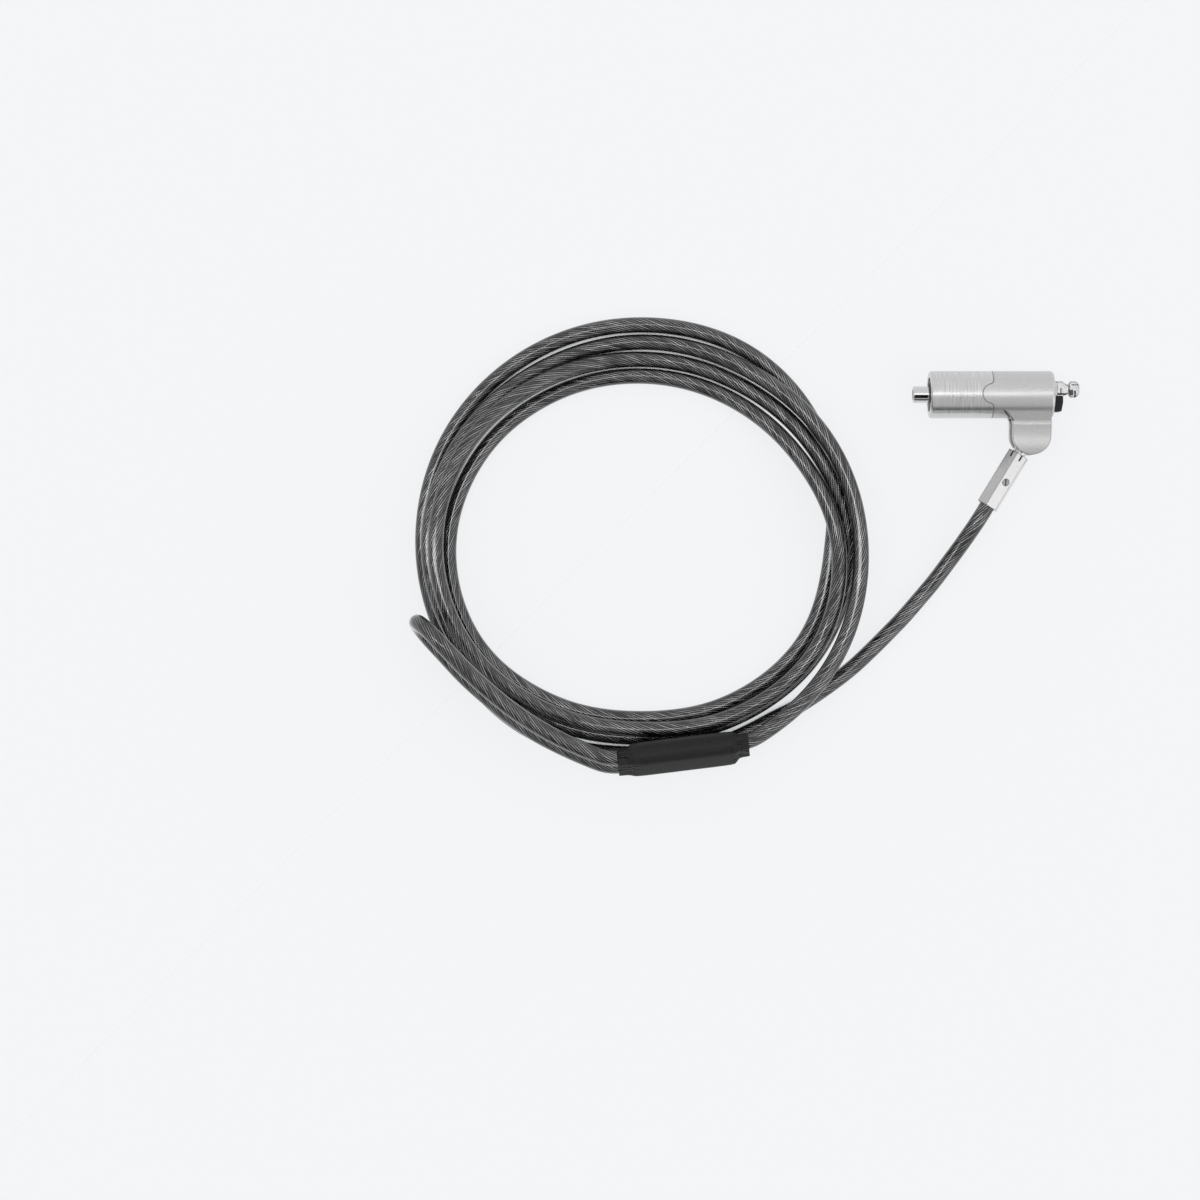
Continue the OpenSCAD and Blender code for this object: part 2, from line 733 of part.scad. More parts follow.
// The anchor loop: through the crimp, out along the upper leg, round the bend and
// back along the lower leg into the crimp.
loop_route = [
    [-125.3, -109.5, 14.6], [-132.0, -110.3, 14.6], [-137.5, -109.8, 15.2],
    [-143.0, -107.8, 16.4], [-151.2, -104.0, 18.7], [-159.7, -99.2, 21.4],
    [-168.2, -93.4, 24.6], [-176.6, -86.4, 28.0], [-184.4, -79.0, 31.0],
    [-191.7, -71.2, 32.8], [-196.6, -66.2, 31.4], [-200.6, -63.2, 26.6],
    [-201.8, -63.2, 20.5], [-200.9, -65.4, 14.4], [-198.0, -69.2, 11.6],
    [-193.6, -74.0, 11.2], [-185.7, -82.4, 11.8], [-178.7, -88.8, 11.4],
    [-169.8, -96.2, 10.4], [-161.0, -102.2, 9.7], [-152.1, -106.9, 9.4],
    [-143.1, -110.9, 9.5], [-137.0, -113.1, 9.6], [-131.6, -113.5, 9.65]
];

coil_r = [coil_start_r, each [for (row = turn_r) each row]];
coil_z = [cable_r, each [for (row = turn_z) each row]];

// A smooth curve through evenly spaced values.
function smooth(values, s) =
    let (n = len(values) - 1, i = min(floor(s), n - 1), u = s - i,
         p0 = values[max(i - 1, 0)], p1 = values[i],
         p2 = values[i + 1], p3 = values[min(i + 2, n)])
    p1 + u / 2 * (p2 - p0 + u * (2 * p0 - 5 * p1 + 4 * p2 - p3 + u * (3 * (p1 - p2) + p3 - p0)));

// A point of the coil, s steps of 30 degrees along it.
function coil_point(s) =
    let (turn = (s - 1) * coil_step, r = smooth(coil_r, s))
    [coil_at[0] - r * sin(turn), coil_at[1] - r * cos(turn), max(cable_r, smooth(coil_z, s))];

rings_per_loop = 24;
coil_ring_step = 360 / rings_per_loop / coil_step;
coil_rings = (len(coil_r) - 1) / coil_ring_step;
coil_body = [for (i = [0 : coil_rings]) coil_point(i * coil_ring_step)];
join_way = unit(coil_body[1] - coil_body[0]);
coil_path = concat([coil_body[0], coil_body[0] + cable_d * join_way],
                   [for (i = [1 : coil_rings]) coil_body[i]], coil_tail);

// Least distance between turns of the coil, on its rings and midway between them,
// less the cable's diameter.
coil_marks = [for (i = [0 : coil_rings - 1])
    each [coil_body[i], (coil_body[i] + coil_body[i + 1]) / 2]];
coil_gap = min([for (i = [0 : len(coil_marks) - 1], j = [i + 24 : 1 : len(coil_marks) - 1])
    norm(coil_marks[i] - coil_marks[j])]) - cable_d;

lead_in = ferrule_tip - (cable_bore_len - 0.3) * unit(ferrule_tip - pivot_at);
lead_out = ferrule_tip + cable_d * unit(ferrule_tip - pivot_at);
lead_path = concat([lead_in, ferrule_tip, lead_out], [for (i = [1 : len(lead_route) - 1]) lead_route[i]],
                   [coil_body[0] - cable_d * join_way, coil_body[0]]);

sleeve_way = [cos(sleeve_turn), sin(sleeve_turn), 0];
sleeve_side = [-sin(sleeve_turn), cos(sleeve_turn), 0];

// A point of one leg in the crimp: x along it, side +1 for the upper leg.
function leg_point(x, side) =
    sleeve_at + x * sleeve_way + side * (leg_dy * sleeve_side + [0, 0, leg_dz]);

function length_of(path) =
    norm(path[1] - path[0]) + (len(path) > 2 ? length_of([for (i = [1 : len(path) - 1]) path[i]]) : 0);

loop_path = concat([leg_point(crimp_len / 2, 1)], [leg_point(-neck_left, 1)],
                   [for (i = [2 : len(loop_route) - 2]) loop_route[i]],
                   [leg_point(-neck_left, -1)], [leg_point(cut_end, -1)]);

echo(least_gap_of_the_coil = coil_gap);
echo(cable_lengths = [length_of(lead_path), length_of(coil_path), length_of(loop_path)]);

module cable_lead() {
    color("dimgray") tube(lead_path, cable_r, 10);
}

module cable_coil() {
    color("dimgray") tube(coil_path, cable_r, 6);
}

module cable_loop() {
    color("dimgray") tube(loop_path, cable_r, 8);
}

// A flat oval in y and z round the two cables of the crimp.
module oval(r) {
    rotate(leg_tilt) {
        for (side = [-1, 1]) translate([side * leg_gap / 2, 0]) circle(r);
        square([leg_gap, 2 * r], center = true);
    }
}

module loop_crimp() {
    color("lightgray") at_sleeve() difference() {
        along_x(-crimp_len / 2, crimp_len / 2) oval(crimp_r);
        for (side = [-1, 1])
            translate([0, side * leg_dy, side * leg_dz])
                rod(cable_r + cable_seat, -crimp_len, crimp_len);
    }
}

module shrink_sleeve() {
    taper = 2.4;
    steps = 3;
    half = sleeve_len / 2;
    color("black") at_sleeve() difference() {
        union() {
            along_x(-neck_left, neck_right) oval(neck_sleeve_r);
            for (i = [0 : steps - 1])
                along_x(-half - taper * i / steps, half + taper * i / steps)
                    oval(sleeve_r - (sleeve_r - neck_sleeve_r) * i / steps);
        }
        along_x(-crimp_len / 2 - 0.5, crimp_len / 2 + 0.5) oval(crimp_r + seat);
        along_x(-sleeve_len, sleeve_len) oval(cable_r + cable_seat);
    }
}

rear_shell();
front_shell();
core_sleeve();
rear_bush();
latch_ring();
guide_pin();
shell_pins();
tang_boss();
grip_pad();
pivot_pin();
return_spring();
plunger();
cam_slider();
key_plug();
wafer_tumblers();
latch_pin();
tip_bar();
cam_pin();
spindle_collar();
swivel_link();
ferrule();
ferrule_screw();
cable_lead();
cable_coil();
cable_loop();
loop_crimp();
shrink_sleeve();
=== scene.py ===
import bpy
import bmesh
import math
from mathutils import Matrix, Vector


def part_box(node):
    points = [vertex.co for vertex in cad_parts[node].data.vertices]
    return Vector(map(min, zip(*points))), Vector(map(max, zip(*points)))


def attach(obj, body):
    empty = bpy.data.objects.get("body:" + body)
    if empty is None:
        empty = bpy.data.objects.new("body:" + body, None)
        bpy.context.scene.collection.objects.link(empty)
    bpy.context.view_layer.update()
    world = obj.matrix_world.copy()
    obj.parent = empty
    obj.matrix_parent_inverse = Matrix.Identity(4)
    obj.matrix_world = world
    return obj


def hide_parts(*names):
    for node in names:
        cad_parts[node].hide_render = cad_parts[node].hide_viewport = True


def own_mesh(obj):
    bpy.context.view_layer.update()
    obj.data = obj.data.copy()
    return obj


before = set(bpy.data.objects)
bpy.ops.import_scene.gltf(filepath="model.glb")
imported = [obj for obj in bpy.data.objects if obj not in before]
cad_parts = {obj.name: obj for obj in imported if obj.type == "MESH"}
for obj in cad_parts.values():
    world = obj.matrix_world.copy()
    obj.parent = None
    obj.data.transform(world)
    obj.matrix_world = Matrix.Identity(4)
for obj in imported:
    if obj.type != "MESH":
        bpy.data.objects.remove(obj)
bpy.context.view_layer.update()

MM = 0.001

# ---- Camera ----

# It looks straight down, as on a copy stand. The scale holds at the barrel's middle height.
CAMERA_AT = Vector((-0.1385, -0.0366, 1.03))
BARREL_HEIGHT = 8.25 * MM
MM_PER_PIXEL = 0.35
IMAGE_PIXELS = 1200
SENSOR = 36.0
IMAGE_SHIFT = -0.045
NEAREST_SEEN = 10 * MM

camera_data = bpy.data.cameras.new("copy_stand")
camera_data.sensor_width = SENSOR
view_width = MM_PER_PIXEL * IMAGE_PIXELS * MM
camera_data.lens = SENSOR * (CAMERA_AT.z - BARREL_HEIGHT) / view_width
camera_data.shift_y = IMAGE_SHIFT
camera_data.clip_start = NEAREST_SEEN
camera = bpy.data.objects.new("copy_stand", camera_data)
camera.location = CAMERA_AT
bpy.context.collection.objects.link(camera)
bpy.context.scene.camera = camera

# ---- The cable's way ----

# Lengths in mm. TURN_R and TURN_Z are the coil's radius about COIL_AT and the height of its
# centreline at every COIL_STEP degrees, clockwise seen from above. The second of each lies
# toward -Y of the coil's middle.
CABLE_D = 5.5
CABLE_SIDES = 28
CABLE_STEP = 1.8
COIL_AT = (-124.0, -37.0)
COIL_STEP = 30
TURN_R = [
    75.2,
    72.8, 75.5, 75.9, 76.8, 77.9, 78.2, 78.2, 78.0, 73.8, 67.1, 66.1, 62.8,
    60.35, 62.9, 67.1, 67.75, 65.3, 62.0, 60.2, 60.8, 63.4, 68.7, 70.7, 67.3,
    63.8, 65.9, 69.9, 71.75, 70.6, 67.5, 66.1, 66.8, 69.4, 72.7, 72.2, 68.7,
    66.8, 69.2, 72.1, 74.5, 73.4, 72.0, 72.15, 72.5, 74.8, 76.4, 77.8, 77.2,
]
TURN_Z = [
    2.75,
    2.75, 2.75, 2.75, 2.75, 2.75, 2.75, 2.75, 2.75, 2.75, 2.75, 2.75, 2.75,
    2.75, 2.75, 2.75, 2.75, 2.75, 2.75, 2.75, 2.9, 10.0, 12.2, 8.7, 8.55,
    7.95, 8.3, 14.4, 14.1, 12.2, 8.1, 2.85, 2.9, 8.8, 7.1, 2.75, 2.75,
    2.75, 2.9, 8.9, 8.6, 7.1, 3.6, 2.75, 5.6, 11.6, 13.3, 13.5, 14.4,
]
COIL_TAIL = [(-90.0, -105.1, 14.6), (-95.5, -105.8, 14.6)]
LEAD_ROUTE = [
    (-11.6, -36.0, 5.6), (-16.0, -42.2, 4.2), (-21.0, -49.0, 3.2),
    (-26.5, -55.6, 2.75), (-31.7, -61.6, 2.75), (-37.1, -67.2, 2.75), (-43.3, -73.4, 2.75),
    (-50.0, -79.6, 2.75), (-59.3, -86.7, 2.75), (-69.2, -93.2, 2.75), (-77.6, -97.5, 2.75),
]
LOOP_ROUTE = [
    (-137.5, -109.8, 15.2), (-143.0, -107.8, 16.4), (-151.2, -104.0, 18.7),
    (-159.7, -99.2, 21.4), (-168.2, -93.4, 24.6), (-176.6, -86.4, 28.0),
    (-184.4, -79.0, 31.0), (-191.7, -71.2, 32.8), (-196.6, -66.2, 31.4),
    (-200.6, -63.2, 26.6), (-201.8, -63.2, 20.5), (-200.9, -65.4, 14.4),
    (-198.0, -69.2, 11.6), (-193.6, -74.0, 11.2), (-185.7, -82.4, 11.8),
    (-178.7, -88.8, 11.4), (-169.8, -96.2, 10.4), (-161.0, -102.2, 9.7),
    (-152.1, -106.9, 9.4), (-143.1, -110.9, 9.5), (-137.0, -113.1, 9.6),
]

PIVOT_AT = Vector((11.95, 1.978, 8.25))
FERRULE_TURN = math.radians(238.6)
FERRULE_WAY = Vector((math.cos(FERRULE_TURN), math.sin(FERRULE_TURN), 0))
FERRULE_REACH = 28.8
FERRULE_TIP = PIVOT_AT + FERRULE_REACH * FERRULE_WAY
CABLE_IN_FERRULE = 6

SLEEVE_AT = Vector((-110.2, -109.2, 12.1))
SLEEVE_TURN = math.radians(7)
SLEEVE_WAY = Vector((math.cos(SLEEVE_TURN), math.sin(SLEEVE_TURN), 0))
SLEEVE_SIDE = Vector((-math.sin(SLEEVE_TURN), math.cos(SLEEVE_TURN), 0))
# The cable's two legs in the crimp, one over the other and tilted, and where along the
# sleeve each of them is held.
LEG_TILT = math.radians(57)
LEG_GAP = 5.9
ACROSS_LEGS = math.cos(LEG_TILT) * SLEEVE_SIDE + Vector((0, 0, math.sin(LEG_TILT)))
UPPER_LEG = (10, 0, -10, -18, -21.8)
LOWER_LEG = (-21.8, -15, -5, 5, 12, 16.5)


def leg_point(x, side):
    """A point of one leg in the crimp, x along it, side +1 for the upper leg."""
    apart = LEG_GAP / 2 * side
    return SLEEVE_AT + x * SLEEVE_WAY + apart * ACROSS_LEGS


def smooth(values, s):
    """A smooth curve through evenly spaced values."""
    last = len(values) - 1
    i = min(int(s), last - 1)
    u = s - i
    p0, p1 = values[max(i - 1, 0)], values[i]
    p2, p3 = values[i + 1], values[min(i + 2, last)]
    return p1 + u / 2 * (p2 - p0 + u * (2 * p0 - 5 * p1 + 4 * p2 - p3
                                        + u * (3 * (p1 - p2) + p3 - p0)))


def coil_point(s):
    """A point of the coil, s steps along TURN_R and TURN_Z, never below the table."""
    turn = math.radians((s - 1) * COIL_STEP)
    r = smooth(TURN_R, s)
    return Vector((COIL_AT[0] - r * math.sin(turn), COIL_AT[1] - r * math.cos(turn),
                   max(CABLE_D / 2, smooth(TURN_Z, s))))


def cable_stations():
    """The points the cable passes through, from the ferrule to its cut end, in mm."""
    per_step = 4
    coil_count = (len(TURN_R) - 1) * per_step
    stations = [FERRULE_TIP + x * FERRULE_WAY for x in (-CABLE_IN_FERRULE, 0, CABLE_D)]
    stations += [Vector(p) for p in LEAD_ROUTE]
    stations += [coil_point(i / per_step) for i in range(coil_count + 1)]
    stations += [Vector(p) for p in COIL_TAIL]
    stations += [leg_point(x, 1) for x in UPPER_LEG]
    stations += [Vector(p) for p in LOOP_ROUTE]
    stations += [leg_point(x, -1) for x in LOWER_LEG]
    return stations


def centripetal(p0, p1, p2, p3, u):
    """A point between p1 and p2 on the smooth curve through all four."""
    least = 1e-6
    t1 = math.sqrt(max((p1 - p0).length, least))
    t2 = t1 + math.sqrt((p2 - p1).length)
    t3 = t2 + math.sqrt(max((p3 - p2).length, least))
    t = t1 + u * (t2 - t1)
    a1 = (t1 - t) / t1 * p0 + t / t1 * p1
    a2 = (t2 - t) / (t2 - t1) * p1 + (t - t1) / (t2 - t1) * p2
    a3 = (t3 - t) / (t3 - t2) * p2 + (t - t2) / (t3 - t2) * p3
    b1 = (t2 - t) / t2 * a1 + t / t2 * a2
    b2 = (t3 - t) / (t3 - t1) * a2 + (t - t1) / (t3 - t1) * a3
    return (t2 - t) / (t2 - t1) * b1 + (t - t1) / (t2 - t1) * b2


def even_path(stations, step):
    """Points an even step apart along the smooth curve through the stations, and its length."""
    parts = 12
    first = 2 * stations[0] - stations[1]
    last = 2 * stations[-1] - stations[-2]
    pts = [first] + stations + [last]
    fine = []
    for i in range(1, len(pts) - 2):
        for k in range(parts):
            fine.append(centripetal(pts[i - 1], pts[i], pts[i + 1], pts[i + 2], k / parts))
    fine.append(stations[-1])
    along = [0.0]
    for a, b in zip(fine, fine[1:]):
        along.append(along[-1] + (b - a).length)
    count = round(along[-1] / step)
    out, j = [], 0
    for i in range(count + 1):
        want = along[-1] * i / count
        while j < len(fine) - 2 and along[j + 1] < want:
            j += 1
        part = (want - along[j]) / (along[j + 1] - along[j])
        out.append(fine[j].lerp(fine[j + 1], min(max(part, 0), 1)))
    return out, along[-1]


def swept_tube(name, path, radius, sides):
    """A closed round tube along the path, unturned about its own axis, with a UV map:
    U goes once round it and V counts its diameters from the start."""
    bm = bmesh.new()
    uv = bm.loops.layers.uv.new("along_cable")
    way = (path[1] - path[0]).normalized()
    side = way.cross(Vector((0, 0, 1))).normalized()
    rings, run, runs = [], 0.0, []
    for i, at in enumerate(path):
        before, after = path[max(i - 1, 0)], path[min(i + 1, len(path) - 1)]
        new_way = (after - before).normalized()
        side = (way.rotation_difference(new_way) @ side).normalized()
        side = (side - side.dot(new_way) * new_way).normalized()
        way = new_way
        up = way.cross(side)
        if i:
            run += (at - path[i - 1]).length
        runs.append(run / (2 * radius))
        ring = []
        for k in range(sides):
            turn = 2 * math.pi * k / sides
            ring.append(bm.verts.new(at + radius * (math.cos(turn) * side + math.sin(turn) * up)))
        rings.append(ring)
    for i in range(len(rings) - 1):
        for k in range(sides):
            m = (k + 1) % sides
            face = bm.faces.new((rings[i][k], rings[i][m], rings[i + 1][m], rings[i + 1][k]))
            face.smooth = True
            corners = ((k, i), (k + 1, i), (k + 1, i + 1), (k, i + 1))
            for loop, (a, b) in zip(face.loops, corners):
                loop[uv].uv = (a / sides, runs[b])
    bm.faces.new(list(reversed(rings[0])))
    bm.faces.new(rings[-1])
    bmesh.ops.recalc_face_normals(bm, faces=bm.faces)
    mesh = bpy.data.meshes.new(name)
    bm.to_mesh(mesh)
    bm.free()
    obj = bpy.data.objects.new(name, mesh)
    bpy.context.collection.objects.link(obj)
    return obj


cable_path, cable_length = even_path(cable_stations(), CABLE_STEP)
cable_path = [p * MM for p in cable_path]
jacketed_cable = swept_tube("jacketed_cable", cable_path, CABLE_D / 2 * MM, CABLE_SIDES)
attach(jacketed_cable, "cable")
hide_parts("cable_lead", "cable_coil", "cable_loop")

# ---- The shrunk sleeve ----

# Each ring's place along the sleeve and its radius, in mm.
SLEEVE_RINGS = [
    (-22.4, 3.15), (-21.0, 3.25), (-19.6, 3.25), (-18.4, 3.45), (-17.4, 4.1),
    (-16.4, 4.42), (-12.0, 4.5), (0.0, 4.46), (12.0, 4.5), (17.8, 4.42),
    (18.8, 4.1), (19.8, 3.45), (21.0, 3.25), (22.4, 3.2), (23.8, 3.1),
]
SLEEVE_SIDES = 48
SLEEVE_WALL = 0.3 * MM
# Where the neck over the cable's cut end starts, and how far it is drawn in.
CUT_NECK = 19.4
CUT_NECK_IN = 2.0 * MM
# Where the loop's neck starts, and how far it is pulled aside.
LOOP_NECK = -18.0
LOOP_NECK_ASIDE = -0.3 * MM
# The two rims lie outside this range and are ragged by this much.
RIMS = (-22.3, 23.7)
RAGGED = 0.35 * MM


def sleeve_point(x):
    return (SLEEVE_AT + x * SLEEVE_WAY) * MM


def mark(obj, chosen):
    """Selects the vertices for which chosen(along, up) is true, both in mm: along the
    sleeve, and from its axis toward the upper leg."""
    bpy.ops.mesh.select_all(action="DESELECT")
    bpy.ops.object.mode_set(mode="OBJECT")
    for vertex in obj.data.vertices:
        place = obj.matrix_world @ vertex.co / MM - SLEEVE_AT
        vertex.select = chosen(place.dot(SLEEVE_WAY), place.dot(ACROSS_LEGS))
    bpy.ops.object.mode_set(mode="EDIT")


def shift(obj, chosen, by):
    """Moves the vertices that mark() selects."""
    mark(obj, chosen)
    bpy.ops.transform.translate(value=by)


def shrunk_sleeve():
    """The sleeve over the crimp: a tube drawn out ring by ring, then its two halves moved
    apart to lie over the two legs, with a narrow neck and a ragged rim at each end."""
    start, start_radius = SLEEVE_RINGS[0]
    bpy.ops.object.select_all(action="DESELECT")
    bpy.ops.mesh.primitive_circle_add(vertices=SLEEVE_SIDES, radius=start_radius * MM,
                                      location=sleeve_point(start),
                                      rotation=(0, math.pi / 2, SLEEVE_TURN))
    sleeve = bpy.context.object
    sleeve.name = "shrunk_sleeve"
    bpy.ops.object.mode_set(mode="EDIT")
    bpy.ops.mesh.select_all(action="SELECT")
    for (x0, r0), (x1, r1) in zip(SLEEVE_RINGS, SLEEVE_RINGS[1:]):
        bpy.ops.mesh.extrude_edges_move(
            TRANSFORM_OT_translate={"value": (x1 - x0) * MM * SLEEVE_WAY})
        grow = r1 / r0
        bpy.ops.transform.resize(value=(grow, grow, grow), center_override=sleeve_point(x1))
    half_gap = LEG_GAP / 2 * MM * ACROSS_LEGS
    shift(sleeve, lambda along, up: up > 0, half_gap)
    shift(sleeve, lambda along, up: up < 0, -half_gap)
    shift(sleeve, lambda along, up: up < 0 and along > CUT_NECK, CUT_NECK_IN * ACROSS_LEGS)
    shift(sleeve, lambda along, up: along < LOOP_NECK, LOOP_NECK_ASIDE * SLEEVE_SIDE)
    mark(sleeve, lambda along, up: not RIMS[0] < along < RIMS[1])
    bpy.ops.transform.vertex_random(offset=RAGGED, seed=4)
    bpy.ops.object.mode_set(mode="OBJECT")
    wall = sleeve.modifiers.new("wall", "SOLIDIFY")
    wall.thickness = SLEEVE_WALL
    wall.offset = -1
    bpy.ops.object.modifier_apply(modifier=wall.name)
    rounded = sleeve.modifiers.new("rounded", "SUBSURF")
    rounded.levels = 1
    bpy.ops.object.modifier_apply(modifier=rounded.name)
    bpy.ops.object.shade_smooth()
    bpy.ops.object.transform_apply(location=True, rotation=True, scale=True)
    return sleeve


sleeve = shrunk_sleeve()
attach(sleeve, "cable")
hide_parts("shrink_sleeve")

# ---- The return spring ----

SPRING_WIRE = 0.3 * MM
SPRING_TURNS = 6
WIRE_SIDES = 10
STEPS_PER_TURN = 24


def return_spring():
    """The coil spring of the plunger: the wire's round end at the slider, screwed along the
    spindle to the end of the core."""
    low, high = (Vector(corner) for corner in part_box("return_spring"))
    middle = (low + high) / 2
    bpy.ops.object.select_all(action="DESELECT")
    bpy.ops.mesh.primitive_circle_add(vertices=WIRE_SIDES, radius=SPRING_WIRE, fill_type="NGON",
                                      location=(low.x + SPRING_WIRE, middle.y, middle.z),
                                      rotation=(math.pi / 2, 0, 0))
    spring = bpy.context.object
    spring.name = "coil_spring"
    bpy.ops.object.mode_set(mode="EDIT")
    bpy.ops.mesh.select_all(action="SELECT")
    bpy.ops.mesh.delete(type="ONLY_FACE")
    bpy.ops.mesh.select_all(action="SELECT")
    bpy.ops.transform.translate(value=(0, 0, (high.z - low.z) / 2 - SPRING_WIRE))
    bpy.ops.object.mode_set(mode="OBJECT")
    wound = spring.modifiers.new("wound", "SCREW")
    wound.axis = "X"
    wound.angle = 2 * math.pi
    wound.iterations = SPRING_TURNS
    wound.steps = STEPS_PER_TURN
    wound.render_steps = STEPS_PER_TURN
    wound.screw_offset = (high.x - low.x - 2 * SPRING_WIRE) / SPRING_TURNS
    bpy.ops.object.modifier_apply(modifier=wound.name)
    bpy.ops.object.mode_set(mode="EDIT")
    bpy.ops.mesh.select_all(action="SELECT")
    bpy.ops.mesh.fill_holes(sides=0)
    bpy.ops.mesh.select_all(action="SELECT")
    bpy.ops.mesh.normals_make_consistent(inside=False)
    bpy.ops.object.mode_set(mode="OBJECT")
    bpy.ops.object.shade_smooth()
    bpy.ops.object.transform_apply(location=True, rotation=True, scale=True)
    return spring


spring = return_spring()
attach(spring, "head")
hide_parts("return_spring")
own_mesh(spring)

# ---- Materials ----


class Finish:
    """A node material in the making, with the object's coordinates at hand."""

    def __init__(self, name, coords="Object"):
        self.material = bpy.data.materials.new(name)
        self.material.use_nodes = True
        self.tree = self.material.node_tree
        self.shader = self.tree.nodes["Principled BSDF"]
        self.coords = self.add("ShaderNodeTexCoord").outputs[coords]

    def add(self, kind, **settings):
        node = self.tree.nodes.new(kind)
        for key, value in settings.items():
            setattr(node, key, value)
        return node

    def link(self, out, into):
        self.tree.links.new(out, into)

    def set(self, **values):
        for key, value in values.items():
            self.shader.inputs[key.replace("_", " ")].default_value = value

    def stretched(self, scale, turn=(0, 0, 0)):
        node = self.add("ShaderNodeMapping")
        node.inputs["Scale"].default_value = scale
        node.inputs["Rotation"].default_value = turn
        self.link(self.coords, node.inputs["Vector"])
        return node.outputs[0]

    def noise(self, scale, detail=3.0, coords=None, rough=0.5):
        node = self.add("ShaderNodeTexNoise")
        node.inputs["Scale"].default_value = scale
        node.inputs["Detail"].default_value = detail
        node.inputs["Roughness"].default_value = rough
        self.link(coords or self.coords, node.inputs["Vector"])
        return node.outputs["Fac"]

    def ramp(self, fac, low, high, start=0.3, end=0.7):
        node = self.add("ShaderNodeMapRange")
        node.inputs["From Min"].default_value = start
        node.inputs["From Max"].default_value = end
        node.inputs["To Min"].default_value = low
        node.inputs["To Max"].default_value = high
        self.link(fac, node.inputs["Value"])
        return node.outputs["Result"]

    def shade(self, fac, dark, light):
        node = self.add("ShaderNodeMix", data_type="RGBA")
        node.inputs["A"].default_value = (*dark, 1)
        node.inputs["B"].default_value = (*light, 1)
        self.link(fac, node.inputs["Factor"])
        self.link(node.outputs["Result"], self.shader.inputs["Base Color"])
        return node

    def math(self, operation, a, b=None, clamp=False):
        node = self.add("ShaderNodeMath", operation=operation, use_clamp=clamp)
        for socket, value in zip(node.inputs, (a, b)):
            if value is None:
                continue
            if isinstance(value, (int, float)):
                socket.default_value = value
            else:
                self.link(value, socket)
        return node.outputs[0]

    def bump(self, height, depth, strength=1.0, before=None):
        node = self.add("ShaderNodeBump")
        node.inputs["Distance"].default_value = depth
        node.inputs["Strength"].default_value = strength
        self.link(height, node.inputs["Height"])
        if before is not None:
            self.link(before, node.inputs["Normal"])
        self.link(node.outputs["Normal"], self.shader.inputs["Normal"])

    def outside(self, middle, half, dark, turn=0):
        """1 outside a box given in mm by its middle and half size, and turned clockwise by
        turn degrees, dark inside it. Only its X and Y count."""
        turned = self.add("ShaderNodeVectorRotate", rotation_type="Z_AXIS")
        self.link(self.coords, turned.inputs["Vector"])
        turned.inputs["Center"].default_value = [v * MM for v in middle]
        turned.inputs["Angle"].default_value = math.radians(turn)
        place = turned.outputs[0]
        for operation, value in (("SUBTRACT", middle), ("ABSOLUTE", None), ("DIVIDE", half)):
            node = self.add("ShaderNodeVectorMath", operation=operation)
            self.link(place, node.inputs[0])
            if value:
                node.inputs[1].default_value = [v * MM for v in value]
            place = node.outputs[0]
        split = self.add("ShaderNodeSeparateXYZ")
        self.link(place, split.inputs[0])
        farthest = self.math("MAXIMUM", split.outputs["X"], split.outputs["Y"])
        return self.ramp(farthest, dark, 1.0, start=0.85, end=1.15)

    def soft_edges(self, radius):
        node = self.add("ShaderNodeBevel", samples=4)
        node.inputs["Radius"].default_value = radius
        return node.outputs["Normal"]


# How far ambient occlusion looks for the painted crease shade of the metals.
CREASE_REACH = 0.9 * MM


def metal(name, dark, light, rough, grain, depth, stretch=(1, 1, 1), edge=0.15 * MM,
          outline=1.0, darker=(), uneven=0.05):
    """A metal whose fine grain shades it a little and roughens it unevenly. Painted shade darkens
    its colour in its creases, in the boxes of darker and, where outline is under 1, along its
    sharp edges."""
    f = Finish(name)
    f.set(Metallic=1.0)
    lines = f.noise(grain, detail=4.0, coords=f.stretched(stretch), rough=0.65)
    grained = f.shade(f.ramp(lines, 0, 1), dark, light).outputs["Result"]
    f.link(f.ramp(lines, rough * (1 - uneven), rough * (1 + uneven)),
           f.shader.inputs["Roughness"])
    rounded = f.soft_edges(edge)
    # Painted shade: the colour darkens where ambient occlusion finds the surface closed in, in
    # creases, seams and joints.
    crease = f.add("ShaderNodeAmbientOcclusion", samples=6)
    crease.inputs["Distance"].default_value = CREASE_REACH
    open_sky = f.ramp(crease.outputs["AO"], 0.12, 1.0, start=0.30, end=0.72)
    # Painted shade along sharp edges: where the rounded shading normal leaves the true one, the
    # colour darkens to the outline level.
    if outline < 1:
        turned = f.add("ShaderNodeVectorMath", operation="DOT_PRODUCT")
        f.link(rounded, turned.inputs[0])
        f.link(f.add("ShaderNodeNewGeometry").outputs["Normal"], turned.inputs[1])
        edge_shade = f.ramp(turned.outputs["Value"], outline, 1.0, start=0.90, end=0.985)
        open_sky = f.math("MULTIPLY", open_sky, edge_shade)
    for box in darker:
        open_sky = f.math("MULTIPLY", open_sky, f.outside(*box))
    dimmed = f.add("ShaderNodeVectorMath", operation="SCALE")
    f.link(grained, dimmed.inputs[0])
    f.link(open_sky, dimmed.inputs["Scale"])
    f.link(dimmed.outputs[0], f.shader.inputs["Base Color"])
    f.bump(lines, depth, 0.5, rounded)
    return f.material


AROUND_BARREL = (1, 0.03, 0.03)
# Boxes of painted shade for outside(): middle and half size in mm, how bright the colour is
# painted there, and turn.
# Painted shade dimming the front shell about the ear, and a painted shadow line along the crease
# where the ear meets the barrel.
EAR_SHADE_AND_CREASE_SHADOW = [((12.0, 0.0, 0), (14, 9, 9), 0.78), ((3.9, 8.9, 0), (2.5, 0.3, 9), 0.3, 45)]
